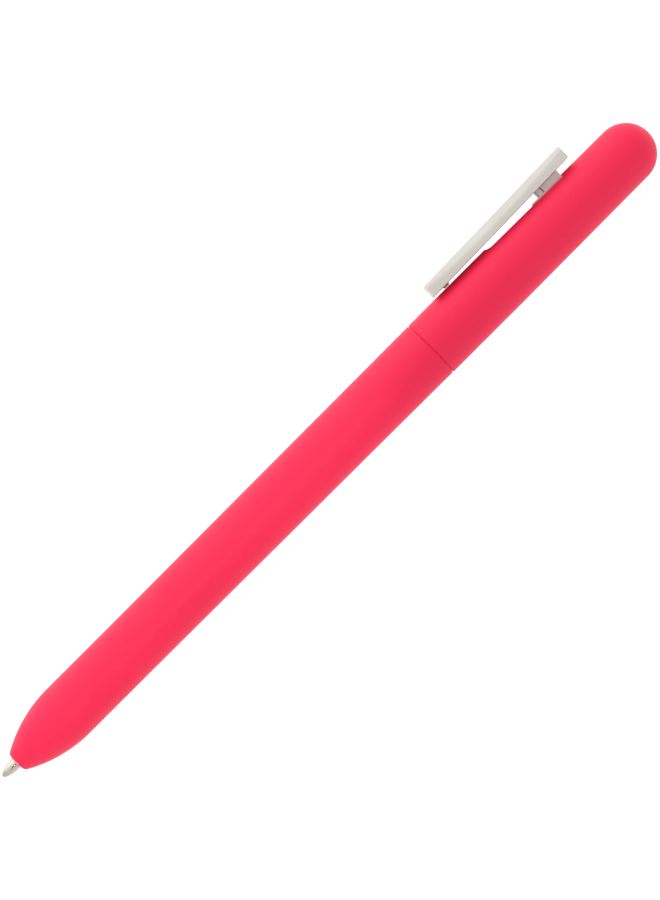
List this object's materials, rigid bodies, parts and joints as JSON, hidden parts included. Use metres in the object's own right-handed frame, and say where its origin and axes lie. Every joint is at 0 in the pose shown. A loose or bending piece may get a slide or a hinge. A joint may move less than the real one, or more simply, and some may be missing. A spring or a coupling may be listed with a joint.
{
  "type": "retractable ballpoint pen",
  "caption": "Retractable ball pen with a sliding clip that works a cam mechanism, a sprung refill and a two-part rounded barrel.",
  "frame": {"origin": "the writing point of the ball, on the pen's axis, with the refill out", "axes": "+X along the pen from the writing point to the domed cap, +Y out of the barrel towards the clip, +Z across the clip"},
  "size_m": [0.1435, 0.0135, 0.0102],
  "materials": {
    "barrel": "coral red soft-touch coating",
    "clip": "satin warm light grey moulding",
    "carriage": "satin warm grey moulding",
    "white_plastic": "natural acetal",
    "clear_plastic": "clear polypropylene tube",
    "ink": "blue oil-based ink",
    "grease": "clear yellow follower grease",
    "tip_metal": "turned nickel silver",
    "ball": "tungsten carbide",
    "sleeve_metal": "turned",
    "spring_steel": "drawn wire"
  },
  "bodies": {
    "barrel": {"front_barrel": "barrel", "rear_barrel": "barrel", "joining_sleeve": "sleeve_metal", "cam_guide": "white_plastic", "return_spring": "spring_steel"},
    "refill": {"tip_cone": "tip_metal", "tip_holder": "white_plastic", "refill_tube": "clear_plastic", "ink": "ink", "follower_grease": "grease", "cam_rotor": "white_plastic", "cam_plunger": "white_plastic"},
    "ball": {"tip_ball": "ball"},
    "carriage": {"slide_carriage": "carriage", "clip_stem": "clip", "drive_spring": "spring_steel"},
    "clip": {"clip_bar": "clip"}
  },
  "joints": [
    {"name": "clip_slide", "type": "slide", "parent": "barrel", "child": "carriage", "axis": [-1, 0, 0], "range_m": [0, 0.009], "stiffness_N_per_m": 120, "springref_m": -0.002, "deforming": ["drive_spring"]},
    {"name": "refill_retract", "type": "slide", "parent": "barrel", "child": "refill", "axis": [1, 0, 0], "range_m": [-0.001, 0.0055], "deforming": ["return_spring"]},
    {"name": "clip_lift", "type": "hinge", "parent": "carriage", "child": "clip", "pos_m": [0.1289, 0.00601, 0], "axis": [0, 0, -1], "range_deg": [0, 4], "stiffness_Nm_per_rad": 0.3, "springref_deg": -1.72},
    {"name": "ball_spin", "type": "hinge", "parent": "refill", "child": "ball", "pos_m": [0.00035, 0, 0], "axis": [0, 0, 1], "continuous": true}
  ]
}
